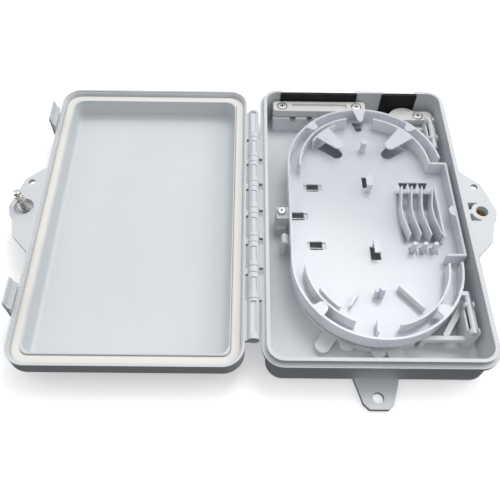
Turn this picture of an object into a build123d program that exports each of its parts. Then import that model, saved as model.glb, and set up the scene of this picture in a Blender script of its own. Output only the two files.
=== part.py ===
from build123d import *
import math
import os

# Fiber termination box, lid open flat. Millimetres.
# Origin: centre of the back face. +Z out of the wall, +Y to the cable entry, +X to the lock lug.

# ---- housing ----
box_width = 160.0
box_length = 257.0
corner_radius = 15.0
base_depth = 30.0
wall = 2.6
floor = 2.5
rim_overhang = 2.9
rim_thick = 3.0
lip_height = 4.75
seam_gap = 0.5
foot_radius = 3.0

# ---- hinge ----
hinge_offset = 5.8
knuckle_radius = 4.1
pin_radius = 1.6
pin_clearance = 0.08
ring_width = 5.0
ring_pitch = 25.85
ring_count = 5
ring_shift = -3.8
hinge_gap = 0.4
end_sleeve = 30.5

# ---- lid ----
lid_depth = 24.0
lid_skirt = 12.0
lid_body_inset = 7.0
lid_body_radius = 12.0
lid_edge_radius = 6.0
dish_radius = 8.0
dish_fillet = 3.0
groove_wall = 2.5
gasket_width = 6.9
gasket_thick = 2.5
gasket_crush_gap = 0.4
lid_inner_ledge = 0.8
ledge_rise = 1.2

# ---- lock ----
lock_reach = 10.5
bolt_radius = 3.1
bolt_clearance = 0.3
bolt_head_radius = 5.2
bolt_head_height = 5.0
bolt_stand = 18.0
thread_length = 9.5
clip_radius = 3.9
clip_thick = 1.0
lug_thick = 3.0
boss_radius = 8.2
boss_bore = 4.7
insert_radius = 5.4
insert_drop = 4.75
insert_length = 21.0
insert_thread = 13.0
insert_mouth = 4.5
lug_boss_drop = 12.75
recess_radius = 7.4
recess_depth = 4.0
seal_hole_radius = 2.65
seal_hole_y = 24.0

# ---- snap latches ----
latch_thick = 1.8
latch_gap = 0.6
latch_height = 17.0
latch_tooth = 1.9
latch_tooth_height = 4.6
latch_play = 0.45

# ---- wall ears ----
ear_hole_offset = 10.9
ear_hole_radius = 3.9
ear_reach = 19.0
ear_root = 32.4
ear_tip = 21.0
ear_thick = 3.5
ear_corner = 4.0

# ---- cable entry and clamps ----
seal_floor = 8.0
wide_seal_x = -29.0
wide_seal_width = 63.8
narrow_seal_x = 41.5
narrow_seal_width = 27.7
seal_flange = 1.5
clamp_depth = 12.0
clamp_length = 81.0
clamp_shift = 0.6
clamp_foot = 2.2
clamp_block_top = 18.6
clamp_bar_thick = 7.0
clamp_lift = 0.6
clamp_screw_inset = 8.0
notch_width = 5.2
notch_depth = 4.4
notch_pitch = 14.9
screw_radius = 2.0
screw_head_radius = 4.0
screw_head_height = 2.4
screw_bite = 10.0
screw_clearance = 0.25
head_clearance = 0.6
saddle_radius = 13.8
saddle_thick = 5.5
saddle_top = 20.0
saddle_trim = 1.0
saddle_bar_depth = 10.6
saddle_reach = 25.4
saddle_screw_x = 13.0

# ---- splice tray ----
tray_floor_z = 16.5
tray_floor_thick = 1.5
tray_rim_z = 30.0
tray_wall = 1.7
tray_left_gap = 16.3
tray_right_gap = 7.1
tray_end_gap = 14.7
tray_step_gap = 3.5
guide_gap = 9.5
guide_wall = 1.5
tab_thick = 1.2
tray_hinge_z = 25.0
tray_hinge_gap = 8.0
rod_radius = 2.0
rod_clearance = 0.1
rod_length = 26.0
jaw_radius = 4.0
jaw_width = 3.2
beam_depth = 5.0
brace_width = 4.2
rail_width = 1.6
fin_pitch = 7.95
fin_thick = 1.1
fin_top = 28.0
window_width = 30.5
window_length = 50.5

# ---- tray hold-down ----
post_side = 8.0
post_top = 20.3
ear_plate = 2.0
tray_screw_radius = 1.5
latch_post = 5.5
catch_y = -21.0
catch_width = 8.0

# ---- slack spool ----
spool_radius = 61.0
spool_top = 10.0
spool_wall = 1.8
spool_ring = 7.0
spool_span = 114.0
tongue_width = 11.0

# ---- derived places ----
half_w = box_width / 2
half_l = box_length / 2
hinge_x = half_w + hinge_offset
rim_z = base_depth - seam_gap / 2
wall_x = half_w - rim_overhang
wall_y = half_l - rim_overhang
inner_x = wall_x - wall
inner_y = wall_y - wall
lip_z = rim_z + lip_height
insert_top = rim_z - insert_drop
insert_floor = insert_top - insert_length
lid_x = -2 * hinge_x
lid_edge_x = lid_x - half_w
lid_right_x = lid_x + half_w
lid_back_z = base_depth - lid_depth
skirt_z = rim_z - lid_skirt
gasket_z = 2 * base_depth - lip_z - gasket_crush_gap
ledge_z = gasket_z + ledge_rise
groove_end = groove_wall + gasket_width + 0.2
lid_rim = groove_end + lid_inner_ledge
lid_inner_x = half_w - lid_rim
lid_inner_y = half_l - lid_rim
lock_x = half_w + lock_reach
lid_lock_x = lid_x - lock_x
ring_ys = [ring_shift + (i - (ring_count - 1) / 2) * ring_pitch for i in range(ring_count)]
hinge_top_y = ring_ys[-1] + ring_pitch - ring_width / 2
hinge_low_y = ring_ys[0] - ring_pitch + ring_width / 2
tray_left = -inner_x + tray_left_gap
tray_right = inner_x - tray_right_gap
tray_step = inner_x - tray_step_gap
tray_x = (tray_left + tray_right) / 2
tray_r = (tray_right - tray_left) / 2
tray_top_y = inner_y - tray_end_gap
arc_y = tray_top_y - tray_r
guide_r = tray_r - guide_gap
tray_top = tray_floor_z + tray_floor_thick
rod_x = inner_x - tray_hinge_gap
rod_out_y = tray_top_y - 9.5
rod_in_y = rod_out_y - rod_length
clamp_x = wide_seal_x + clamp_shift
clamp_y = inner_y - 1.9 - clamp_depth / 2
seal_in_y = inner_y - seal_flange


def block(x0, x1, y0, y1, z0, z1, mode=Mode.ADD):
    with Locations(((x0 + x1) / 2, (y0 + y1) / 2, (z0 + z1) / 2)):
        Box(x1 - x0, y1 - y0, z1 - z0, mode=mode)


def disc(x, y, radius, z0, z1, mode=Mode.ADD):
    with Locations((x, y, (z0 + z1) / 2)):
        Cylinder(radius, z1 - z0, mode=mode)


def slab(x, y, width, length, radius, z0, z1, mode=Mode.ADD):
    with BuildSketch(Plane.XY.offset(z0)) as outline:
        with Locations((x, y)):
            RectangleRounded(width, length, radius)
    extrude(outline.sketch, amount=z1 - z0, mode=mode)


def prism(points, z0, z1, mode=Mode.ADD):
    with BuildSketch(Plane.XY.offset(z0)) as outline:
        with BuildLine():
            Polyline(*points, close=True)
        make_face()
    extrude(outline.sketch, amount=z1 - z0, mode=mode)


def y_bar(x, z, radius, y0, y1, mode=Mode.ADD):
    with Locations(Location((x, (y0 + y1) / 2, z), (90, 0, 0))):
        Cylinder(radius, y1 - y0, mode=mode)


def arc_wall(cx, cy, radius, thick, a0, a1, z0, z1, mode=Mode.ADD):
    with BuildSketch(Plane.XY.offset(z0)) as outline:
        with BuildLine():
            inner = CenterArc((cx, cy), radius - thick, a0, a1 - a0)
            outer = CenterArc((cx, cy), radius, a0, a1 - a0)
            Line(inner @ 0, outer @ 0)
            Line(inner @ 1, outer @ 1)
        make_face()
    extrude(outline.sketch, amount=z1 - z0, mode=mode)


def turned(cx, cy, angle, along, across):
    a = math.radians(angle)
    return (
        cx + along * math.cos(a) - across * math.sin(a),
        cy + along * math.sin(a) + across * math.cos(a),
    )


def radial_plate(cx, cy, angle, r0, r1, w0, w1, z0, z1, mode=Mode.ADD):
    corners = [(r0, -w0 / 2), (r1, -w1 / 2), (r1, w1 / 2), (r0, w0 / 2)]
    prism([turned(cx, cy, angle, r, w) for r, w in corners], z0, z1, mode)


def tongue(cx, cy, angle, root, tip, w0, w1, z0, z1, mode=Mode.ADD):
    end = tip + math.copysign(w1 / 2, root - tip)
    radial_plate(cx, cy, angle, root, end, w0, w1, z0, z1, mode)
    disc(*turned(cx, cy, angle, end, 0), w1 / 2, z0, z1, mode)


def pan_screw(x, y, seat, radius, head, height, bite):
    disc(x, y, radius, seat - bite, seat)
    disc(x, y, head, seat, seat + height)
    top = edges().filter_by(GeomType.CIRCLE).group_by(Axis.Z)[-1].sort_by_distance((x, y, seat + height))[0]
    fillet(top, height * 0.45)
    slot = radius * 1.9
    for turn in (0, 90):
        with Locations(Location((x, y, seat + height), (0, 0, turn))):
            Box(slot, slot * 0.22, height, mode=Mode.SUBTRACT)


# ---- base shell: tray-shaped housing with standing lip, ears, lock lug and hinge leaves ----
lug_shape = [
    (0.5, 38.9),
    (14.2, 26.8),
    (19.8, 8.5),
    (22.0, 0.0),
    (19.8, -8.5),
    (16.9, -12.9),
    (13.3, -27.5),
    (0.5, -40.8),
]
with BuildPart() as base_shell:
    slab(0, 0, 2 * wall_x, 2 * wall_y, corner_radius - rim_overhang, 0, lip_z)
    back_edges = faces().sort_by(Axis.Z)[0].edges()
    fillet(back_edges, foot_radius)
    slab(0, 0, box_width, box_length, corner_radius, rim_z - rim_thick, rim_z)
    for side in (1, -1):
        ear = [
            (-ear_root / 2, side * (wall_y - 1)),
            (-ear_tip / 2, side * (half_l + ear_reach - ear_corner)),
            (-ear_tip / 2 + ear_corner, side * (half_l + ear_reach)),
            (ear_tip / 2 - ear_corner, side * (half_l + ear_reach)),
            (ear_tip / 2, side * (half_l + ear_reach - ear_corner)),
            (ear_root / 2, side * (wall_y - 1)),
        ]
        prism(ear, 0, ear_thick)
        disc(0, side * (half_l + ear_hole_offset), ear_hole_radius, 0, ear_thick, Mode.SUBTRACT)
    lug = [(half_w - 1, lug_shape[0][1])] + [(half_w + x, y) for x, y in lug_shape]
    prism(lug + [(half_w - 1, lug_shape[-1][1])], rim_z - lug_thick, rim_z)
    boss_bottom = insert_floor - 1.5
    block(wall_x - 0.5, lock_x, -9.6, 9.6, rim_z - 16, rim_z - lug_thick)
    disc(lock_x, 0, boss_radius, boss_bottom, rim_z)
    with BuildSketch(Plane.XY.offset(rim_z - 13)) as pockets:
        with Locations((half_w + 4.6, 4.9), (half_w + 4.6, -5.6)):
            Rectangle(7.8, 6.6)
        with Locations((lock_x, 0)):
            Circle(boss_radius, mode=Mode.SUBTRACT)
    extrude(pockets.sketch, amount=13, mode=Mode.SUBTRACT)
    disc(lock_x, 0, insert_radius, insert_floor, insert_top, Mode.SUBTRACT)
    disc(lock_x, 0, boss_bore, insert_top, rim_z, Mode.SUBTRACT)
    disc(half_w + 9, seal_hole_y, seal_hole_radius, rim_z - lug_thick, rim_z, Mode.SUBTRACT)
    # hinge leaf with notches for the lid rings
    block(-hinge_x, -wall_x, hinge_low_y, hinge_top_y, rim_z - rim_thick, rim_z)
    y_bar(-hinge_x, base_depth, knuckle_radius, hinge_low_y, hinge_top_y)
    for y in ring_ys:
        reach = ring_width / 2 + hinge_gap
        block(-hinge_x - 6, -half_w + 1.2, y - reach, y + reach, rim_z - 8, rim_z + 8, Mode.SUBTRACT)
    y_bar(-hinge_x, base_depth, pin_radius + pin_clearance, hinge_low_y, hinge_top_y, Mode.SUBTRACT)
    # spring tongues pressed into the knuckle tops, one above each knuckle
    for i in range(ring_count + 1):
        mid = ring_shift + (i - ring_count / 2) * ring_pitch
        top = base_depth + knuckle_radius
        for side in (-1, 1):
            x = -hinge_x + side * 1.9
            block(x - 0.35, x + 0.35, mid - 6, mid + 5.6, top - 1.3, top, Mode.SUBTRACT)
        block(-hinge_x - 2.2, -hinge_x + 2.2, mid + 5.2, mid + 6, top - 1.3, top, Mode.SUBTRACT)
    slab(0, 0, 2 * inner_x, 2 * inner_y, corner_radius - rim_overhang - wall, floor, lip_z + 1, Mode.SUBTRACT)
    # windows for the two cable seals
    for x, width in ((wide_seal_x, wide_seal_width), (narrow_seal_x, narrow_seal_width)):
        block(x - width / 2, x + width / 2, inner_y - 1, half_l + 1, seal_floor, lip_z + 1, Mode.SUBTRACT)
    # square post under the tray ear
    post_x = tray_left - 1.6 - post_side / 2
    block(post_x - 4, post_x + 4, -3.2, 7.2, floor, post_top)
    block(post_x - 4.6, post_x + 4, -6.0, 7.2, floor, post_top - 8)
    disc(post_x, 2.9, tray_screw_radius + 0.4, post_top - 11, post_top, Mode.SUBTRACT)
base_shell.part.label = "base_shell"

# ---- brass insert moulded in the lock boss: tapped below, wide mouth above ----
with BuildPart() as brass_insert:
    thread_top = insert_floor + insert_thread
    disc(lock_x, 0, insert_radius, insert_floor, insert_top)
    disc(lock_x, 0, bolt_radius + bolt_clearance, insert_floor, thread_top, Mode.SUBTRACT)
    disc(lock_x, 0, insert_mouth, thread_top, insert_top, Mode.SUBTRACT)
brass_insert.part.label = "brass_insert"

# ---- lid shell: rim with gasket groove, deep shallow dish, lug, hinge rings and end sleeves ----
with BuildPart() as lid_shell:
    body_w = box_width - 2 * lid_body_inset
    body_l = box_length - 2 * lid_body_inset
    slab(lid_x, 0, body_w, body_l, lid_body_radius, lid_back_z, skirt_z + 0.5)
    fillet(faces().sort_by(Axis.Z)[0].edges(), lid_edge_radius)
    slab(lid_x, 0, box_width, box_length, corner_radius, skirt_z, rim_z)
    lug = [(lid_edge_x + 1, lug_shape[0][1])] + [(lid_edge_x - x, y) for x, y in lug_shape]
    prism(lug + [(lid_edge_x + 1, lug_shape[-1][1])], rim_z - lug_thick, rim_z)
    disc(lid_lock_x, 0, boss_radius + 1.2, rim_z - lug_boss_drop, rim_z)
    # hinge leaf runs along the rim, rings and end sleeves stand on it
    sleeves = [
        (hinge_top_y + hinge_gap, hinge_top_y + hinge_gap + end_sleeve),
        (hinge_low_y - hinge_gap - end_sleeve, hinge_low_y - hinge_gap),
    ]
    arms = sleeves + [(y - ring_width / 2, y + ring_width / 2) for y in ring_ys]
    for y0, y1 in arms:
        y_bar(-hinge_x, base_depth, knuckle_radius, y0, y1)
        block(lid_right_x - 1, -hinge_x, y0, y1, rim_z - lug_thick, rim_z)
    bore_top = hinge_top_y + end_sleeve - 4
    bore_low = hinge_low_y - hinge_gap - end_sleeve
    y_bar(-hinge_x, base_depth, pin_radius + pin_clearance, bore_low, bore_top, Mode.SUBTRACT)
    for y0, y1 in sleeves:
        top = base_depth + knuckle_radius
        block(-hinge_x - 2, -hinge_x + 2, y0 + 4.5, y1 - 2.2, top - 1.6, top, Mode.SUBTRACT)
    # gasket groove, stepped outer rim, inner ledge and dish
    groove_r = corner_radius - groove_wall
    slab(lid_x, 0, box_width - 3, box_length - 3, corner_radius - 1.5, rim_z - 1.3, rim_z, Mode.SUBTRACT)
    slab(
        lid_x, 0, box_width - 2 * groove_wall, box_length - 2 * groove_wall, groove_r,
        gasket_z - gasket_thick, rim_z, Mode.SUBTRACT,
    )
    ledge_w = box_width - 2 * groove_end
    ledge_l = box_length - 2 * groove_end
    slab(lid_x, 0, ledge_w, ledge_l, corner_radius - groove_end, gasket_z - gasket_thick - 0.5, ledge_z)
    slab(lid_x, 0, 2 * lid_inner_x, 2 * lid_inner_y, dish_radius, lid_back_z + floor, rim_z, Mode.SUBTRACT)
    dish_floor = lid_back_z + floor
    fillet(edges().filter_by_position(Axis.Z, dish_floor - 0.01, dish_floor + 0.01), dish_fillet)
    # captive bolt recess and bore, seal hole
    disc(lid_lock_x, 0, recess_radius, rim_z - recess_depth, rim_z, Mode.SUBTRACT)
    disc(lid_lock_x, 0, bolt_radius + bolt_clearance, 0, rim_z, Mode.SUBTRACT)
    disc(lid_edge_x - 9, seal_hole_y, seal_hole_radius, rim_z - lug_thick, rim_z, Mode.SUBTRACT)
    # fixed roots of the two snap latches
    latch_x = lid_edge_x - latch_gap
    latch_spans = [(79.0, 100.0), (-91.0, -70.0)]
    latch_root_z = rim_z - lug_thick
    for y0, y1 in latch_spans:
        block(latch_x - latch_thick, lid_edge_x + 0.5, y0, y1, skirt_z, latch_root_z)
lid_shell.part.label = "lid_shell"

# ---- gasket: soft strip lying in the lid groove ----
with BuildPart() as lid_gasket:
    out_w = box_width - 2 * groove_wall
    out_l = box_length - 2 * groove_wall
    slab(lid_x, 0, out_w, out_l, corner_radius - groove_wall, gasket_z - gasket_thick, gasket_z)
    in_w = out_w - 2 * gasket_width
    in_l = out_l - 2 * gasket_width
    in_r = corner_radius - groove_wall - gasket_width
    slab(lid_x, 0, in_w, in_l, in_r, gasket_z - gasket_thick, gasket_z, Mode.SUBTRACT)
    fillet(edges().group_by(Axis.Z)[-1], 0.5)
lid_gasket.part.label = "lid_gasket"

# ---- hinge pin through all knuckles, rings and sleeves ----
with BuildPart() as hinge_pin:
    y_bar(-hinge_x, base_depth, pin_radius, hinge_low_y - end_sleeve + 2, hinge_top_y + end_sleeve - 4.5)
    chamfer(edges().filter_by(GeomType.CIRCLE), 0.4)
hinge_pin.part.label = "hinge_pin"

# ---- snap latches: flexing blades with a tooth that hooks under the base rim ----
tooth_top = 2 * base_depth - (rim_z - rim_thick) + latch_play
for name, (y0, y1) in zip(("latch_upper", "latch_lower"), latch_spans):
    with BuildPart() as latch:
        blade_top = latch_root_z + latch_height
        with BuildSketch(Plane.XZ.offset(-y1)) as profile:
            with BuildLine():
                Polyline(
                    (latch_x - latch_thick, latch_root_z),
                    (lid_edge_x, latch_root_z),
                    (lid_edge_x, latch_root_z + 1.6),
                    (latch_x, latch_root_z + 2.6),
                    (latch_x, tooth_top),
                    (latch_x + latch_tooth, tooth_top),
                    (latch_x + latch_tooth, tooth_top + 1.0),
                    (latch_x, tooth_top + latch_tooth_height),
                    (latch_x - 0.5, blade_top),
                    (latch_x - latch_thick, blade_top),
                    close=True,
                )
            make_face()
        extrude(profile.sketch, amount=y1 - y0)
        ends = edges().filter_by(Axis.X).group_by(Axis.Z)[-1]
        chamfer(ends, 1.2)
    latch.part.label = name
    if name == "latch_upper":
        latch_upper = latch
    else:
        latch_lower = latch

# ---- captive lock bolt, upright in the lid lug ----
seat_z = rim_z - lug_boss_drop
tip_z = base_depth + bolt_stand
clip_z = tip_z - thread_length
with BuildPart() as lock_bolt:
    disc(lid_lock_x, 0, bolt_head_radius, seat_z - bolt_head_height, seat_z)
    chamfer(edges().group_by(Axis.Z)[0], 0.6)
    disc(lid_lock_x, 0, bolt_radius, seat_z, clip_z)
    disc(lid_lock_x, 0, bolt_radius - 0.6, clip_z, clip_z + clip_thick + 0.2)
    disc(lid_lock_x, 0, bolt_radius - 0.1, clip_z + clip_thick + 0.2, tip_z)
    chamfer(edges().group_by(Axis.Z)[-1], 0.7)
    with Locations((lid_lock_x, 0, seat_z - bolt_head_height)):
        Box(2 * bolt_head_radius + 1, 1.4, 3.0, mode=Mode.SUBTRACT)
        Box(1.4, 6.0, 3.0, mode=Mode.SUBTRACT)
lock_bolt.part.label = "lock_bolt"

with BuildPart() as bolt_retainer:
    disc(lid_lock_x, 0, clip_radius, clip_z + 0.1, clip_z + 0.1 + clip_thick)
    disc(lid_lock_x, 0, bolt_radius - 0.6 + 0.08, clip_z, clip_z + 2, Mode.SUBTRACT)
    block(lid_lock_x - 1.1, lid_lock_x + 1.1, -6, -1.5, clip_z, clip_z + 2, Mode.SUBTRACT)
bolt_retainer.part.label = "bolt_retainer"


# ---- rubber cable seals: flanged blocks closing the two windows ----
def cable_seal(x, width):
    half = width / 2
    top = lip_z - 0.9
    block(x - half, x + half, inner_y, wall_y, seal_floor, rim_z - 0.2)
    block(x - half, x + half, inner_y, inner_y + 1.4, rim_z - 0.3, top)
    block(x - half - 1.5, x + half + 1.5, seal_in_y, inner_y, seal_floor - 1.5, top)
    for z in (14.0, 20.0, 26.0):
        block(x - half + 2, x + half - 2, seal_in_y - 1, seal_in_y + 0.5, z, z + 1.2, Mode.SUBTRACT)


with BuildPart() as cable_seal_wide:
    cable_seal(wide_seal_x, wide_seal_width)
cable_seal_wide.part.label = "cable_seal_wide"

with BuildPart() as cable_seal_narrow:
    cable_seal(narrow_seal_x, narrow_seal_width)
cable_seal_narrow.part.label = "cable_seal_narrow"

# ---- cable clamp: notched block on the floor, bar and two screws ----
clamp_low = clamp_y - clamp_depth / 2
clamp_high = clamp_y + clamp_depth / 2
screw_offset = clamp_length / 2 - clamp_screw_inset
bar_z = clamp_block_top + clamp_lift
bar_top = bar_z + clamp_bar_thick
clamp_spots = [(clamp_x - screw_offset, clamp_y), (clamp_x + screw_offset, clamp_y)]
bar_seat = bar_top - 1.8
with BuildPart() as clamp_block:
    slab(clamp_x, clamp_y, clamp_length, clamp_depth, 3, floor, clamp_block_top)
    slab(clamp_x - 12.5, clamp_y, clamp_length - 25, clamp_depth + 2 * clamp_foot, 2, floor, clamp_block_top)
    block(clamp_x - 60, clamp_x + 60, clamp_high, clamp_high + 9, 0, 30, Mode.SUBTRACT)
    for x, y in clamp_spots:
        disc(x, y, screw_head_radius, clamp_block_top - 1, bar_z)
        disc(x, y, screw_radius, bar_seat - screw_bite, bar_z, Mode.SUBTRACT)
    for i in range(4):
        x = wide_seal_x + (i - 1.5) * notch_pitch
        notch = [
            (x - notch_width / 2, clamp_block_top + 0.01),
            (x - notch_width / 3.2, clamp_block_top - notch_depth),
            (x + notch_width / 3.2, clamp_block_top - notch_depth),
            (x + notch_width / 2, clamp_block_top + 0.01),
        ]
        with BuildSketch(Plane.XZ.offset(-clamp_high - 1)) as channel:
            with BuildLine():
                Polyline(*notch, close=True)
            make_face()
        extrude(channel.sketch, amount=clamp_depth + clamp_foot + 2, mode=Mode.SUBTRACT)
clamp_block.part.label = "clamp_block"

with BuildPart() as clamp_bar:
    slab(clamp_x, clamp_y, clamp_length, clamp_depth, 3, bar_z, bar_top)
    fillet(edges().group_by(Axis.Z)[-1], 0.8)
    slab(clamp_x, clamp_y, 48, 5.0, 1, bar_top - 1.6, bar_top, Mode.SUBTRACT)
    for x, y in clamp_spots:
        disc(x, y, screw_head_radius + head_clearance, bar_seat, bar_top, Mode.SUBTRACT)
        disc(x, y, screw_radius + screw_clearance, bar_z, bar_top, Mode.SUBTRACT)
clamp_bar.part.label = "clamp_bar"

with BuildPart() as clamp_screws:
    for x, y in clamp_spots:
        pan_screw(x, y, bar_seat, screw_radius, screw_head_radius, screw_head_height, screw_bite)
clamp_screws.part.label = "clamp_screws"

# ---- cable saddle: half-round plate with a screw ear, on its seat beside the clamp ----
saddle_y = seal_in_y - 0.6 - saddle_radius
saddle_x = narrow_seal_x + 4.8
saddle_z = saddle_top - saddle_thick
saddle_low = saddle_y - saddle_trim
ear_mid = saddle_low + saddle_bar_depth / 2
saddle_spot = (saddle_x + saddle_screw_x, ear_mid)
saddle_seat_z = saddle_top - 1.8
with BuildPart() as saddle_seat:
    seat_left = saddle_x - 10
    seat_right = saddle_spot[0] + 6.5
    seat_width = seat_right - seat_left
    slab(saddle_spot[0], ear_mid + 1, 13, saddle_bar_depth - 2, 2, floor, saddle_z)
    slab((seat_left + seat_right) / 2, ear_mid + 1, seat_width, saddle_bar_depth - 2, 2, floor, saddle_z - 4)
    disc(*saddle_spot, screw_radius, saddle_seat_z - screw_bite, saddle_z, Mode.SUBTRACT)
saddle_seat.part.label = "saddle_seat"

with BuildPart() as cable_saddle:
    disc(saddle_x, saddle_y, saddle_radius, saddle_z, saddle_top)
    fillet(edges().group_by(Axis.Z)[-1], 0.8)
    disc(saddle_x, saddle_y, saddle_radius - 1.6, saddle_top - 0.8, saddle_top, Mode.SUBTRACT)
    block(saddle_x - 20, saddle_x + 30, saddle_y - 20, saddle_low, 0, 40, Mode.SUBTRACT)
    slab(
        saddle_x + saddle_reach / 2, ear_mid, saddle_reach, saddle_bar_depth, saddle_bar_depth / 2 - 0.1,
        saddle_z, saddle_top - 0.3,
    )
    block(saddle_x - 6, saddle_x + 8, saddle_low, saddle_low + 6, saddle_z, saddle_top - 0.3)
    disc(*saddle_spot, screw_head_radius + head_clearance, saddle_seat_z, saddle_top + 1, Mode.SUBTRACT)
    disc(*saddle_spot, screw_radius + screw_clearance, saddle_z, saddle_top, Mode.SUBTRACT)
cable_saddle.part.label = "cable_saddle"

with BuildPart() as saddle_screw:
    pan_screw(*saddle_spot, saddle_seat_z, screw_radius, screw_head_radius, screw_head_height, screw_bite)
saddle_screw.part.label = "saddle_screw"


# ---- tray brackets: floating cross bar, diagonal brace, two side rails and two open snap jaws ----
def tray_bracket(side):
    top = tray_floor_z - 1
    out_y = side * (rod_out_y + 2.6)
    near = rod_x - jaw_radius
    far = rod_x + jaw_radius
    y0, y1 = sorted((out_y - side * 3.2, out_y))
    block(rod_x - 34, far, y0, y1, top - beam_depth, top)
    block(rod_x - 34, rod_x - 30, y0, y1, floor, top)
    foot = (rod_x - 17, out_y - side * 3)
    head = (rod_x - 2, side * (rod_in_y + 3))
    span = math.hypot(head[0] - foot[0], head[1] - foot[1])
    nx = (foot[1] - head[1]) / span * brace_width / 2
    ny = (head[0] - foot[0]) / span * brace_width / 2
    brace = [
        (foot[0] + nx, foot[1] + ny),
        (head[0] + nx, head[1] + ny),
        (head[0] - nx, head[1] - ny),
        (foot[0] - nx, foot[1] - ny),
    ]
    prism(brace, top - beam_depth, top - 0.3)
    hole = rod_radius + rod_clearance
    jaw_low = side * (rod_in_y + 6.5)
    jaw_high = out_y - side * jaw_width / 2
    for y in (jaw_low, jaw_high):
        block(near, far, y - jaw_width / 2, y + jaw_width / 2, floor, tray_hinge_z)
        y_bar(rod_x, tray_hinge_z, jaw_radius, y - jaw_width / 2, y + jaw_width / 2)
        y_bar(rod_x, tray_hinge_z, hole, y - jaw_width / 2, y + jaw_width / 2, Mode.SUBTRACT)
        block(
            rod_x - hole * 0.85, rod_x + hole * 0.85, y - jaw_width / 2, y + jaw_width / 2,
            tray_hinge_z, tray_hinge_z + 6, Mode.SUBTRACT,
        )
    y0, y1 = sorted((jaw_low, jaw_high))
    for x in (near, far - rail_width):
        block(x, x + rail_width, y0, y1, floor, tray_hinge_z - 2)


with BuildPart() as tray_bracket_upper:
    tray_bracket(1)
tray_bracket_upper.part.label = "tray_bracket_upper"

with BuildPart() as tray_bracket_lower:
    tray_bracket(-1)
tray_bracket_lower.part.label = "tray_bracket_lower"

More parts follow.
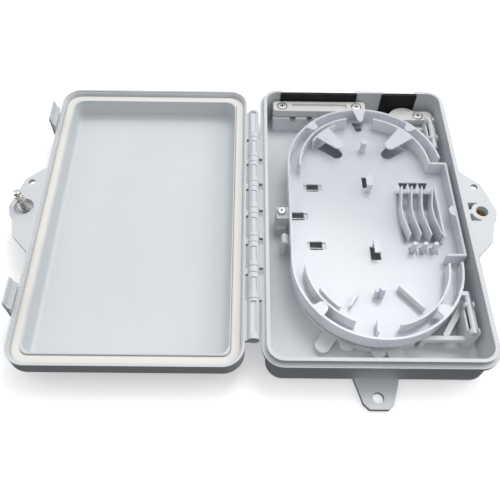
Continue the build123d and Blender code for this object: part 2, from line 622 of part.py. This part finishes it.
# ---- splice tray: oval dish with stepped right side, fibre guides, tabs and clips ----
step_top = arc_y + 3.2
step_low = -(arc_y - 4.6)
win_right = tray_step - 12.0
win_left = win_right - window_width
win_top = window_length / 2 + 2.3
win_low = win_top - window_length
with BuildPart() as splice_tray:
    slab(tray_x, 0, 2 * tray_r, 2 * tray_top_y, tray_r - 0.01, tray_floor_z, tray_rim_z)
    block(tray_right - 8, tray_step, step_low, step_top, tray_floor_z, tray_rim_z)
    inner = tray_r - tray_wall
    inner_l = 2 * (tray_top_y - tray_wall)
    slab(tray_x, 0, 2 * inner, inner_l, inner - 0.01, tray_top, tray_rim_z, Mode.SUBTRACT)
    block(
        tray_right - 12, tray_step - tray_wall, step_low + tray_wall, step_top - tray_wall,
        tray_top, tray_rim_z, Mode.SUBTRACT,
    )
    # fibre entries beside the step, between the outer wall and the inner guides
    for y in (step_top + 2.6, step_low - 2.6):
        block(tray_right - 6.0, tray_right + 2, y - 2.6, y + 2.6, tray_top, tray_rim_z, Mode.SUBTRACT)
    # inner guide walls
    arc_wall(tray_x, arc_y, guide_r, guide_wall, 2, 77, tray_floor_z, tray_rim_z)
    arc_wall(tray_x, arc_y, guide_r, guide_wall, 102, 176, tray_floor_z, tray_rim_z)
    arc_wall(tray_x, -arc_y, guide_r, guide_wall, -78, -2, tray_floor_z, tray_rim_z)
    arc_wall(tray_x, -arc_y, guide_r, guide_wall, 184, 248, tray_floor_z, tray_rim_z)
    arc_wall(tray_x, arc_y, guide_r - 4.2, guide_wall, 117, 148, tray_floor_z, tray_rim_z)
    arc_wall(tray_x, -arc_y, guide_r - 4.2, guide_wall, 208, 232, tray_floor_z, tray_rim_z)
    block(guide_r + tray_x - guide_wall, tray_step, step_top - tray_wall, step_top, tray_floor_z, tray_rim_z)
    block(guide_r + tray_x - guide_wall, tray_step, step_low, step_low + tray_wall, tray_floor_z, tray_rim_z)
    # fibre-retaining tongues at rim height, the three long ones above mould windows
    tab_z = tray_rim_z - tab_thick
    tongue(tray_x, arc_y, 134, tray_r - 0.8, tray_r - 9.0, 11.5, 7.0, tab_z, tray_rim_z)
    tongue(tray_x, arc_y, 45, tray_r - 0.8, tray_r - 8.5, 10.5, 7.0, tab_z, tray_rim_z)
    tongue(tray_x, -arc_y, 222, tray_r - 0.8, tray_r - 9.5, 11.5, 9.0, tab_z, tray_rim_z)
    tongue(tray_x, -arc_y, -43, tray_r - 0.8, tray_r - 9.5, 11.5, 9.0, tab_z, tray_rim_z)
    long_tongues = [
        (tray_x + 0.7, 90, tray_r - 0.8, tray_r - 14.2, 11.0, 5.0),
        (tray_x, 133, guide_r - 5.0, guide_r - 27.6, 15.0, 9.0),
        (tray_x, 43.5, guide_r - 0.8, guide_r - 26.0, 15.5, 9.0),
    ]
    for cx, angle, root, tip, w0, w1 in long_tongues:
        tongue(cx, arc_y, angle, root - 3.5, tip - 1, w0, w1 + 1, tray_floor_z - 1, tray_top, Mode.SUBTRACT)
        tongue(cx, arc_y, angle, root, tip, w0, w1, tab_z, tray_rim_z)
    disc(tray_step - 0.8, 0.5, 5.2, tab_z, tray_rim_z)
    block(tray_step, tray_step + 8, -10, 10, tab_z, tray_rim_z, Mode.SUBTRACT)
    # locating pins
    disc(tray_x + 1.8, arc_y + 24.9, 2.6, tray_floor_z, tray_rim_z)
    disc(tray_x + 1.9, -arc_y - 22.6, 2.4, tray_floor_z, tray_rim_z)
    disc(tray_x - 1.9, -arc_y - 23.2, 1.4, tray_floor_z, tray_rim_z - 3)
    # radial fins in the lower bend
    radial_plate(tray_x, -arc_y, 237, 28, 40, 1.5, 1.5, tray_floor_z, tray_top + 5)
    radial_plate(tray_x, -arc_y, 265.5, 46, 55.5, 1.5, 1.5, tray_floor_z, tray_top + 8)
    radial_plate(tray_x, -arc_y, -49, 23, guide_r - 6, 1.8, 1.8, tray_floor_z, tray_top + 7)
    radial_plate(tray_x, arc_y, 177, guide_r, guide_r - 1.6, 8, 8, tray_floor_z, tray_rim_z)
    # cable tie slots on the left: window with shallow shoulders and a bar across it
    for y in (30.4, 2.0, -25.6):
        cx = tray_left + (20.4 if abs(y) > 10 else 7.6)
        block(cx - 4.7, cx + 4.7, y - 3.8, y + 3.8, tray_floor_z - 1, tray_top, Mode.SUBTRACT)
        block(cx - 7.4, cx + 7.4, y - 3.0, y + 3.0, tray_top - 0.9, tray_top, Mode.SUBTRACT)
        block(cx - 5.5, cx + 5.5, y - 2.0, y - 1.2, tray_floor_z, tray_floor_z + 0.5)
    # two hooked clips on the centre line, each over its slot
    hook_x = tray_x + 2.3
    hooks = [(25.9, 36.5, 31.0, 42.0, 28.0), (-25.0, -36.4, -37.8, -26.2, 27.0)]
    for back, tip, slot_low, slot_high, top in hooks:
        grow = math.copysign(1.5, tip - back)
        block(hook_x - 3.8, hook_x + 3.9, slot_low, slot_high, tray_floor_z - 1, tray_top, Mode.SUBTRACT)
        block(hook_x - 2.0, hook_x + 2.0, *sorted((back, back + grow)), tray_floor_z, top)
        block(hook_x - 2.4, hook_x + 2.4, *sorted((back, tip)), top - 1.2, top)
    # opening for the splice holder, with cut-outs above it and peg slots below
    block(win_left, win_right, win_low, win_top, tray_floor_z - 1, tray_top, Mode.SUBTRACT)
    for i in range(3):
        x = win_left + 8.2 + i * fin_pitch
        far_y = win_top + 9.4
        near_y = win_top + 2.6
        mouth = [(x - 4.0, far_y), (x + 4.0, far_y), (x + 1.2, near_y), (x - 3.0, near_y)]
        prism(mouth, tray_floor_z - 1, tray_top, Mode.SUBTRACT)
        px = win_left + 6.9 + i * fin_pitch
        block(px - 3.0, px + 3.0, win_low - 10.0, win_low - 3.6, tray_floor_z - 1, tray_top, Mode.SUBTRACT)
    # hinge arms and rods at both ends
    for side in (1, -1):
        y_bar(rod_x, tray_hinge_z, rod_radius, *sorted((side * (rod_in_y - 4), side * (rod_out_y + 2.4))))
        y0, y1 = sorted((side * (rod_in_y - 4), side * (rod_in_y - 1)))
        edge_x = tray_x + math.sqrt(tray_r**2 - (abs(y1 if side > 0 else y0) - arc_y) ** 2)
        block(edge_x - 1.4, rod_x, y0, y1, tray_floor_z + 2, tray_hinge_z + rod_radius)
    # screw ear and catch rib on the left wall
    block(post_x - 4, tray_left + 0.8, -3.4, 7.5, post_top + 0.2, post_top + 0.2 + ear_plate)
    disc(post_x, 2.9, tray_screw_radius + 0.3, post_top, post_top + 4, Mode.SUBTRACT)
    block(tray_left - 2.0, tray_left + 0.5, catch_y - 4, catch_y + 4, tray_floor_z + 0.5, tray_floor_z + 2.0)
splice_tray.part.label = "splice_tray"

# ---- splice holder: frame in the tray opening with four bent spring fins, a wall and three pegs ----
frame_z = tray_floor_z - 1.5
with BuildPart() as splice_holder:
    block(win_left, win_right, win_low, win_top, frame_z, tray_top)
    shelf_low = win_low + 19.6
    shelf_top = win_top - 17.7
    block(win_left + 1.2, win_right - 1.5, win_low + 0.8, shelf_low, frame_z - 1, tray_top + 1, Mode.SUBTRACT)
    block(win_left + 1.2, win_right - 1.5, shelf_top, win_top - 1.5, frame_z - 1, tray_top + 1, Mode.SUBTRACT)
    block(win_left + 1.2, win_right - 1.5, shelf_low, shelf_top, frame_z + 1.2, tray_top + 1, Mode.SUBTRACT)
    for i in range(4):
        x = win_left + 3.8 + i * fin_pitch
        spine = [
            (x, win_top - (2.0 if i < 3 else 4.8)),
            (x - 2.9, 6.0),
            (x - 2.8, -3.0),
            (x + 0.7, win_low + 2.4),
        ]
        right_side = [(px + fin_thick / 2, py) for px, py in reversed(spine)]
        prism([(px - fin_thick / 2, py) for px, py in spine] + right_side, frame_z, fin_top)
        block(x - 0.8, x + 1.6, win_low, win_low + 3.0, frame_z, tray_floor_z)
    block(win_right - 1.5, win_right, win_low, win_top - 3.5, frame_z, fin_top)
    block(win_left + 2.4, win_left + 28, win_low - 10.4, win_low + 0.8, frame_z, tray_floor_z - 0.1)
    for i in range(3):
        disc(win_left + 6.4 + i * fin_pitch, win_low - 6.6, 2.0, frame_z, tray_rim_z - 0.5)
    domes = edges().filter_by(GeomType.CIRCLE).group_by(Axis.Z)[-1]
    fillet(domes, 1.3)
splice_holder.part.label = "splice_holder"

# ---- tray screw, captive in the tray ear ----
with BuildPart() as tray_screw:
    pan_screw(
        post_x, 2.9, post_top + 0.2 + ear_plate, tray_screw_radius, 3.4, 2.2, 9.5,
    )
tray_screw.part.label = "tray_screw"

# ---- tray latch: springy post whose nose rests over the tray rib ----
catch_x = tray_left - 2.6
with BuildPart() as tray_latch:
    with BuildSketch(Plane.XZ.offset(-catch_y - catch_width / 2)) as nose:
        with BuildLine():
            Polyline(
                (catch_x - latch_post + 2.0, floor),
                (catch_x - 0.2, floor),
                (catch_x - 0.2, tray_floor_z + 2.3),
                (catch_x + 1.6, tray_floor_z + 2.3),
                (catch_x + 1.6, tray_floor_z + 3.2),
                (catch_x - 0.8, tray_floor_z + 5.4),
                (catch_x - 2.2, tray_floor_z + 5.4),
                (catch_x - latch_post + 2.0, tray_floor_z + 3.0),
                close=True,
            )
        make_face()
    extrude(nose.sketch, amount=catch_width)
tray_latch.part.label = "tray_latch"

# ---- slack spool: open drum on the floor with rounded retaining tongues ----
spool_low = [(234.5, 15.0, 7.6), (247, 6.0, 10.0), (268, 6.5, 10.0), (279, 13.5, 7.6)]
spool_high = [(129, 6.0, 10.0), (150, 6.0, 10.0)]
with BuildPart() as slack_spool:
    for cy, start, tongues in ((arc_y, 180 - spool_span, spool_high), (-arc_y, 180, spool_low)):
        end = start + spool_span
        arc_wall(tray_x, cy, spool_radius, spool_ring, start, end, floor, floor + 1.6)
        arc_wall(tray_x, cy, spool_radius, spool_wall, start, end, floor, spool_top)
        for angle, reach, top in tongues:
            root = spool_radius - spool_wall / 2
            tongue(tray_x, cy, angle, root, spool_radius + reach, tongue_width, tongue_width, top - 1.4, top)
    left = tray_x - spool_radius
    block(left, left + spool_wall, -arc_y, arc_y, floor, spool_top)
    block(left, left + spool_ring, -arc_y, arc_y, floor, floor + 1.6)
slack_spool.part.label = "slack_spool"

os.makedirs("parts", exist_ok=True)
pieces = [
    base_shell, brass_insert, lid_shell, lid_gasket, hinge_pin, latch_upper, latch_lower,
    lock_bolt, bolt_retainer, cable_seal_wide, cable_seal_narrow, clamp_block, clamp_bar,
    clamp_screws, saddle_seat, cable_saddle, saddle_screw, tray_bracket_upper,
    tray_bracket_lower, splice_tray, splice_holder, tray_screw, tray_latch, slack_spool,
]
for piece in pieces:
    export_step(piece.part, f"parts/{piece.part.label}.step")
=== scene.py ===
import math
import bpy
import bmesh
from mathutils import Matrix, Vector


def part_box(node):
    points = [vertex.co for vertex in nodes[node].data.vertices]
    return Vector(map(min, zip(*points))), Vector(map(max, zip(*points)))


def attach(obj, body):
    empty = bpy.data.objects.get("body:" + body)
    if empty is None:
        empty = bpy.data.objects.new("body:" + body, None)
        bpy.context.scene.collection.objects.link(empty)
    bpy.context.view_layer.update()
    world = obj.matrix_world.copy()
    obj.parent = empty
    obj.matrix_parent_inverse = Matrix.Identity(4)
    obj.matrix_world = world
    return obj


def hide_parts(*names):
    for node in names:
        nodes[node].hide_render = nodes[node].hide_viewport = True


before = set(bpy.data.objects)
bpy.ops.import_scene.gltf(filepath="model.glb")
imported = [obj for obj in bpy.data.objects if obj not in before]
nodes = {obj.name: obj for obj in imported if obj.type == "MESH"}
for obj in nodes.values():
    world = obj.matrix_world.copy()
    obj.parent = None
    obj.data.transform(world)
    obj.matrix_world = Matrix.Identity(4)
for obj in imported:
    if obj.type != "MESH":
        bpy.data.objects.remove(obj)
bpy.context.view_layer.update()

# ---- Camera ----
# A tall stand to the left of the housing's hinge, looking steeply down at the open box.
scene = bpy.context.scene
camera_data = bpy.data.cameras.new("stand_camera")
camera_data.lens = 43.2
camera_data.sensor_width = 36.0
camera_data.clip_start = 0.01
camera = bpy.data.objects.new("stand_camera", camera_data)
scene.collection.objects.link(camera)
eye = Vector((-0.0916, -0.2746, 0.4019))
right = Vector((0.99992, 0.00472, 0.01160))
up = Vector((-0.01021, 0.84344, 0.53715))
back = right.cross(up).normalized()
up = back.cross(right).normalized()
right = up.cross(back).normalized()
camera.matrix_world = Matrix(
    (
        (right.x, up.x, back.x, eye.x),
        (right.y, up.y, back.y, eye.y),
        (right.z, up.z, back.z, eye.z),
        (0, 0, 0, 1),
    )
)
scene.camera = camera

# ---- Table and studio light ----
# A wide sheet of white acrylic lies under the box, faintly lit from below and flagged off it. One
# softbox hangs behind, a second stands at the right, and a card at the left gives only a shine.
# The room is bright overhead and behind, and dim low down in front.


def linear(code):
    values = [int(code[i : i + 2], 16) / 255 for i in (1, 3, 5)]
    return [v / 12.92 if v <= 0.04045 else ((v + 0.055) / 1.055) ** 2.4 for v in values] + [1.0]


# A setting is an option of the node or the value of a socket, which goes by its name or number.
def add_node(tree, kind, settings=None, links=None):
    node = tree.nodes.new(kind)
    for name, value in (settings or {}).items():
        if isinstance(name, str) and hasattr(node, name):
            setattr(node, name, value)
        else:
            node.inputs[name].default_value = value
    for name, source in (links or {}).items():
        tree.links.new(source, node.inputs[name])
    return node


def new_material(name):
    material = bpy.data.materials.new(name)
    material.use_nodes = True
    tree = material.node_tree
    tree.nodes.clear()
    return material, tree


def finish_material(tree, shader):
    output = add_node(tree, "ShaderNodeOutputMaterial")
    tree.links.new(shader.outputs[0], output.inputs["Surface"])


board_white, tree = new_material("acrylic_backlit_white")
sheet = add_node(tree, "ShaderNodeBsdfDiffuse", {"Color": linear("#F4F5F6")})
glow = add_node(tree, "ShaderNodeEmission", {"Color": linear("#FBFBFC"), "Strength": 0.42})
lit_sheet = add_node(
    tree, "ShaderNodeAddShader", None, {0: sheet.outputs["BSDF"], 1: glow.outputs["Emission"]}
)
finish_material(tree, lit_sheet)
board_half_side = 30.0
board_level = -0.0004
board_mesh = bpy.data.meshes.new("board")
bm = bmesh.new()
bmesh.ops.create_grid(bm, x_segments=1, y_segments=1, size=board_half_side)
bmesh.ops.translate(bm, verts=bm.verts, vec=(0, 0, board_level))
bm.to_mesh(board_mesh)
bm.free()
board_mesh.materials.append(board_white)
board = bpy.data.objects.new("board", board_mesh)
scene.collection.objects.link(board)
board.visible_diffuse = False
board.visible_glossy = False

world = bpy.data.worlds.new("white_room")
scene.world = world
world.use_nodes = True
tree = world.node_tree
sky = tree.nodes["Background"]
sky.inputs["Color"].default_value = linear("#F9FAFC")
ray = add_node(tree, "ShaderNodeTexCoord")
direction = add_node(tree, "ShaderNodeSeparateXYZ", None, {"Vector": ray.outputs["Generated"]})
overhead = add_node(
    tree, "ShaderNodeMapRange",
    {"From Min": 0.12, "From Max": 0.70, "To Min": 0.02, "To Max": 1.08},
    {"Value": direction.outputs["Z"]},
)
behind = add_node(
    tree, "ShaderNodeMapRange",
    {"From Min": -0.9, "From Max": 0.5, "To Min": 0.50, "To Max": 1.00},
    {"Value": direction.outputs["Y"]},
)
both = add_node(
    tree, "ShaderNodeMath", {"operation": "MULTIPLY"},
    {0: overhead.outputs["Result"], 1: behind.outputs["Result"]},
)
tree.links.new(both.outputs["Value"], sky.inputs["Strength"])
box_middle = Vector((-0.08, 0.0, 0.0))
for name, place, size, power, lights_plastic in (
    ("softbox_behind", (0.27, 0.62, 1.60), 0.7, 7.5, True),
    ("softbox_right", (1.35, 0.25, 1.15), 1.0, 8.0, True),
    ("shine_card_left", (-1.30, 0.10, 0.70), 0.8, 9.0, False),
):
    lamp = bpy.data.lights.new(name, "AREA")
    lamp.shape = "SQUARE"
    lamp.size = size
    lamp.energy = power
    stand = bpy.data.objects.new(name, lamp)
    stand.location = place
    stand.visible_diffuse = lights_plastic
    aim = box_middle - Vector(place)
    stand.rotation_euler = aim.to_track_quat("-Z", "Y").to_euler()
    scene.collection.objects.link(stand)
scene.view_settings.view_transform = "Standard"

# ---- Housing and lid shells ----
# Weatherproof ASA, injection moulded in light cool grey with a fine spark-eroded texture.
# The texture is about 0.8 mm across here, coarser than the real 0.2 mm, which would not show.
# Broad soft mottling comes from the melt flow, and handled edges are a shade lighter.
flow_mm = 55.0
edge_radius = 0.0004


# A Mix node's first socket is the share; sockets 6 and 7 are its colours and output 2 the result.
def blend(tree, colour, other, share):
    mix = add_node(
        tree, "ShaderNodeMix", {"data_type": "RGBA", 6: linear(colour), 7: linear(other)},
        {0: share},
    )
    return mix.outputs[2]


def moulded_plastic(
    name, colour, shade, grain_mm, grain_depth_mm, rough, rough_spread, specular=0.4, milky=0.0,
    milk_depth_mm=4.0,
):
    material, tree = new_material(name)
    place = add_node(tree, "ShaderNodeTexCoord")
    grain = add_node(
        tree, "ShaderNodeTexNoise", {"Scale": 1000.0 / grain_mm, "Detail": 2.0},
        {"Vector": place.outputs["Object"]},
    )
    flow = add_node(
        tree, "ShaderNodeTexNoise", {"Scale": 1000.0 / flow_mm, "Detail": 3.0, "Roughness": 0.55},
        {"Vector": place.outputs["Object"]},
    )
    tone = add_node(
        tree, "ShaderNodeMapRange",
        {"From Min": 0.3, "From Max": 0.7, "To Min": 0.0, "To Max": 1.0},
        {"Value": flow.outputs["Fac"]},
    )
    skin = blend(tree, colour, shade, tone.outputs["Result"])
    soft_edge = add_node(tree, "ShaderNodeBevel", {"samples": 4, "Radius": edge_radius})
    surface = add_node(tree, "ShaderNodeNewGeometry")
    turn = add_node(
        tree, "ShaderNodeVectorMath", {"operation": "DOT_PRODUCT"},
        {0: soft_edge.outputs["Normal"], 1: surface.outputs["Normal"]},
    )
    handled = add_node(
        tree, "ShaderNodeMapRange",
        {"From Min": 1.0, "From Max": 0.8, "To Min": 1.0, "To Max": 1.10},
        {"Value": turn.outputs["Value"]},
    )
    worn = add_node(
        tree, "ShaderNodeVectorMath", {"operation": "SCALE"},
        {0: skin, "Scale": handled.outputs["Result"]},
    )
    gloss = add_node(
        tree, "ShaderNodeMapRange",
        {
            "From Min": 0.3, "From Max": 0.7,
            "To Min": rough - rough_spread, "To Max": rough + rough_spread,
        },
        {"Value": grain.outputs["Fac"]},
    )
    bump = add_node(
        tree, "ShaderNodeBump", {"Strength": 0.35, "Distance": grain_depth_mm / 1000.0},
        {"Height": grain.outputs["Fac"], "Normal": soft_edge.outputs["Normal"]},
    )
    shader = add_node(
        tree, "ShaderNodeBsdfPrincipled",
        {
            "IOR": 1.52, "Specular IOR Level": specular, "Subsurface Weight": milky,
            "Subsurface Scale": milk_depth_mm / 1000.0, "Subsurface Radius": (1.0, 1.0, 1.0),
        },
        {
            "Base Color": worn.outputs["Vector"], "Roughness": gloss.outputs["Result"],
            "Normal": bump.outputs["Normal"],
        },
    )
    finish_material(tree, shader)
    return material


def paint(name, material):
    for slot in nodes[name].material_slots:
        slot.material = material


shell_grey = moulded_plastic("asa_moulded_light_grey", "#DADDE0", "#D6DADC", 0.8, 0.05, 0.46, 0.05)
for name in ("base_shell", "lid_shell", "latch_upper", "latch_lower"):
    paint(name, shell_grey)

# ---- Clamp block, clamp bar and saddle ----
# The bar and the saddle are ABS, injection moulded in a neutral white with a satin skin. The
# block and the seat under them are the housing's grey ASA.
clamp_white = moulded_plastic(
    "abs_moulded_neutral_white", "#D9DAD7", "#D3D4D2", 0.7, 0.03, 0.40, 0.05, milky=0.1
)
for name in ("clamp_bar", "cable_saddle"):
    paint(name, clamp_white)
for name in ("clamp_block", "saddle_seat"):
    paint(name, shell_grey)

# ---- Tray brackets, tray latch and slack spool ----
# Natural polypropylene, injection moulded, springy, greyish white and a little translucent.
spool_white = moulded_plastic(
    "polypropylene_moulded_natural", "#E2E5E4", "#DCDFDF", 0.9, 0.03, 0.38, 0.05, milky=0.3
)
for name in ("tray_bracket_upper", "tray_bracket_lower", "slack_spool", "tray_latch"):
    paint(name, spool_white)

# ---- Splice tray and splice holder ----
# Thin-walled ABS from a polished mould, a bluish white. Its 1.5 mm floor and walls let a little
# light through, and its skin takes a soft shine.
tray_white = moulded_plastic(
    "abs_polished_bluish_white", "#D8DBE2", "#D3D6DE", 0.9, 0.015, 0.18, 0.03, specular=0.7,
    milky=0.8, milk_depth_mm=6.0,
)
for name in ("splice_tray", "splice_holder"):
    paint(name, tray_white)

# ---- Gasket ----
# One strip of closed-cell silicone foam, ivory and dull, laid in the lid's groove, with a domed
# crown, rounded shoulders and faint pores about 0.5 mm wide. It is drawn in steps across, in
# shares of its width and height, from its outer foot to its inner foot.


def adopt(name, bm, material, body, node):
    bmesh.ops.recalc_face_normals(bm, faces=bm.faces)
    mesh = bpy.data.meshes.new(name)
    bm.to_mesh(mesh)
    bm.free()
    mesh.materials.append(material)
    piece = bpy.data.objects.new(name, mesh)
    scene.collection.objects.link(piece)
    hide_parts(node)
    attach(piece, body)


gasket_ivory = moulded_plastic(
    "silicone_foam_ivory", "#EEECE7", "#E8E6E1", 0.5, 0.08, 0.78, 0.08, specular=0.25
)
strip_width = 0.0069
corner_radius = 0.0125
low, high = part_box("lid_gasket")
half = (Vector(high) - Vector(low)) / 2
middle = (Vector(high) + Vector(low)) / 2
bm = bmesh.new()
bmesh.ops.create_grid(bm, x_segments=1, y_segments=1, size=1.0)
bmesh.ops.scale(bm, verts=bm.verts, vec=(half.x, half.y, 1.0))
bmesh.ops.translate(bm, verts=bm.verts, vec=(middle.x, middle.y, low[2]))
bmesh.ops.bevel(
    bm, geom=bm.verts[:], offset=corner_radius, offset_type="OFFSET", affect="VERTICES",
    segments=14, profile=0.5, material=-1,
)
bm.faces.ensure_lookup_table()
crown = bm.faces[0]
for step, rise in (
    (0.00002, 0.60), (0.02, 0.16), (0.05, 0.12), (0.12, 0.08), (0.20, 0.04), (0.22, 0.0),
    (0.20, -0.04), (0.12, -0.08), (0.05, -0.12), (0.02, -0.16), (0.00002, -0.60),
):
    bmesh.ops.inset_region(
        bm, faces=[crown], thickness=step * strip_width, depth=rise * 2 * half.z,
        use_even_offset=True, use_boundary=True,
    )
bmesh.ops.delete(bm, geom=[crown], context="FACES_ONLY")
bmesh.ops.bridge_loops(bm, edges=[edge for edge in bm.edges if edge.is_boundary])
for face in bm.faces:
    face.smooth = True
adopt("gasket_strip", bm, gasket_ivory, "lid", "lid_gasket")

# ---- Cable seals ----
# EPDM rubber blocks, compression moulded, black with a faint greyish bloom. Their edges are
# rounded by 0.35 mm, as rubber comes from its mould, and their flanges hold them in the windows.
merge_distance = 0.000005


def copy_of(node):
    bm = bmesh.new()
    bm.from_mesh(nodes[node].data)
    bmesh.ops.remove_doubles(bm, verts=bm.verts, dist=merge_distance)
    return bm


seal_black = moulded_plastic(
    "epdm_rubber_black", "#171818", "#1F2020", 0.6, 0.06, 0.66, 0.1, specular=0.3
)
flat_angle = 0.02
sharp_angle = 0.5
rubber_edge = 0.00035
for node in ("cable_seal_wide", "cable_seal_narrow"):
    bm = copy_of(node)
    bmesh.ops.dissolve_limit(bm, angle_limit=flat_angle, verts=bm.verts, edges=bm.edges)
    inner = [edge for edge in bm.edges if edge.is_manifold]
    sharp = [edge for edge in inner if edge.calc_face_angle() > sharp_angle]
    bmesh.ops.bevel(
        bm, geom=sharp, offset=rubber_edge, offset_type="OFFSET", affect="EDGES", segments=3,
        profile=0.5, material=-1, clamp_overlap=True,
    )
    bmesh.ops.dissolve_degenerate(bm, dist=merge_distance, edges=bm.edges)
    adopt(node + "_rubber", bm, seal_black, "base", node)

# ---- Screws, clip and pin ----
# Turned steel with bright nickel plating and fine tool marks. Painted shade darkens its colour
# down in the recesses.
nickel, tree = new_material("steel_nickel_plated")
place = add_node(tree, "ShaderNodeTexCoord")
marks_per_metre = 1500.0
marks = add_node(
    tree, "ShaderNodeTexNoise", {"Scale": marks_per_metre, "Detail": 3.0},
    {"Vector": place.outputs["Object"]},
)
gloss = add_node(
    tree, "ShaderNodeMapRange", {"From Min": 0.3, "From Max": 0.7, "To Min": 0.32, "To Max": 0.48},
    {"Value": marks.outputs["Fac"]},
)
# Painted shade: ambient occlusion pulls the plating colour towards dark #3E3C38 in recesses, where
# shade falls.
recess = add_node(
    tree, "ShaderNodeAmbientOcclusion", {"samples": 8, "only_local": True, "Distance": 0.002}
)
recess_shade = add_node(
    tree, "ShaderNodeMapRange", {"From Min": 0.45, "From Max": 0.9, "To Min": 0.0, "To Max": 1.0},
    {"Value": recess.outputs["AO"]},
)
plated = blend(tree, "#3E3C38", "#D2D0CB", recess_shade.outputs["Result"])
soft_edge = add_node(tree, "ShaderNodeBevel", {"samples": 4, "Radius": 0.0002})
bump = add_node(
    tree, "ShaderNodeBump", {"Strength": 0.2, "Distance": 0.00002},
    {"Height": marks.outputs["Fac"], "Normal": soft_edge.outputs["Normal"]},
)
shader = add_node(
    tree, "ShaderNodeBsdfPrincipled", {"Metallic": 1.0},
    {
        "Base Color": plated, "Roughness": gloss.outputs["Result"],
        "Normal": bump.outputs["Normal"],
    },
)
finish_material(tree, shader)
for name in ("clamp_screws", "saddle_screw", "tray_screw", "bolt_retainer", "hinge_pin"):
    paint(name, nickel)

# ---- Lock bolt ----
# An M6 bolt turned from steel and nickel plated: slotted head behind the lug, smooth shank,
# rolled thread up to the clip, shown as level rings, then a waisted guide point with a collar
# and a rounded tip.
turned_sides = 40
ring_merge_distance = 0.000001


# Turns a line of (radius, height) points round the upright axis at x, y.
def turned_rings(bm, x, y, profile, closed=False):
    line = [bm.verts.new((x + radius, y, z)) for radius, z in profile]
    ends = line[1:] + line[:1] if closed else line[1:]
    edges = [bm.edges.new(pair) for pair in zip(line, ends)]
    bmesh.ops.spin(
        bm, geom=line + edges, cent=(x, y, 0), axis=(0, 0, 1), dvec=(0, 0, 0), angle=math.tau,
        steps=turned_sides, use_merge=True,
    )
    bmesh.ops.remove_doubles(bm, verts=bm.verts, dist=ring_merge_distance)


low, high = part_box("lock_bolt")
bolt_x = (low[0] + high[0]) / 2
bolt_y = (low[1] + high[1]) / 2
tip = high[2]
head_height = 0.005
head_top = low[2] + head_height
cut_level = head_top + 0.0001
clip_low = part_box("bolt_retainer")[0][2]
profile = [(0.0, tip), (0.0014, tip), (0.0022, tip - 0.0004), (0.0025, tip - 0.0010)]
profile += [(0.0025, tip - 0.0024), (0.0022, tip - 0.0028), (0.0022, tip - 0.0036)]
profile += [(0.0029, tip - 0.0040), (0.0030, tip - 0.0050), (0.0028, tip - 0.0056)]
profile += [(0.0024, tip - 0.0060), (0.0024, clip_low - 0.0002)]
bolt_turns = 9
bolt_pitch = 0.0013
crest_radius = 0.00326
root_radius = 0.00245
shank_radius = 0.0031
for turn in range(bolt_turns):
    crest = clip_low - 0.0009 - turn * bolt_pitch
    profile += [(crest_radius, crest + 0.0002), (crest_radius, crest - 0.0002)]
    profile += [(root_radius, crest - bolt_pitch / 2)]
profile += [(shank_radius, crest - 0.0010), (shank_radius, head_top + 0.0006)]
bm = copy_of("lock_bolt")
bmesh.ops.bisect_plane(
    bm, geom=bm.verts[:] + bm.edges[:] + bm.faces[:], plane_co=(0, 0, cut_level),
    plane_no=(0, 0, 1), clear_outer=True,
)
turned_rings(bm, bolt_x, bolt_y, profile)
bmesh.ops.bridge_loops(bm, edges=[edge for edge in bm.edges if edge.is_boundary])
adopt("lock_bolt_turned", bm, nickel, "bolt", "lock_bolt")

# ---- Brass insert ----
# Turned brass, a little stained, pressed in the boss of the lug. Fine thread goes down its mouth,
# shown as level rings.
brass, tree = new_material("brass_turned")
place = add_node(tree, "ShaderNodeTexCoord")
stains_per_metre = 420.0
stain = add_node(
    tree, "ShaderNodeTexNoise", {"Scale": stains_per_metre, "Detail": 3.0},
    {"Vector": place.outputs["Object"]},
)
aged = blend(tree, "#CDB48C", "#9A8262", stain.outputs["Fac"])
gloss = add_node(
    tree, "ShaderNodeMapRange", {"From Min": 0.3, "From Max": 0.7, "To Min": 0.22, "To Max": 0.38},
    {"Value": stain.outputs["Fac"]},
)
shader = add_node(
    tree, "ShaderNodeBsdfPrincipled", {"Metallic": 1.0},
    {"Base Color": aged, "Roughness": gloss.outputs["Result"]},
)
finish_material(tree, shader)
low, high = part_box("brass_insert")
bore_x = (low[0] + high[0]) / 2
bore_y = (low[1] + high[1]) / 2
mouth = high[2]
bore_radius = 0.00455
root_radius = 0.00447
crest_radius = 0.00424
insert_turns = 7
insert_pitch = 0.001
profile = [(bore_radius, mouth - 0.0074)]
for turn in range(insert_turns):
    root = mouth - 0.0072 + turn * insert_pitch
    profile += [(root_radius, root), (crest_radius, root + 0.0004), (crest_radius, root + 0.0006)]
profile += [(root_radius, mouth - 0.0002), (bore_radius, mouth - 0.0001)]
bm = copy_of("brass_insert")
turned_rings(bm, bore_x, bore_y, profile, closed=True)
adopt("brass_insert_threaded", bm, brass, "base", "brass_insert")
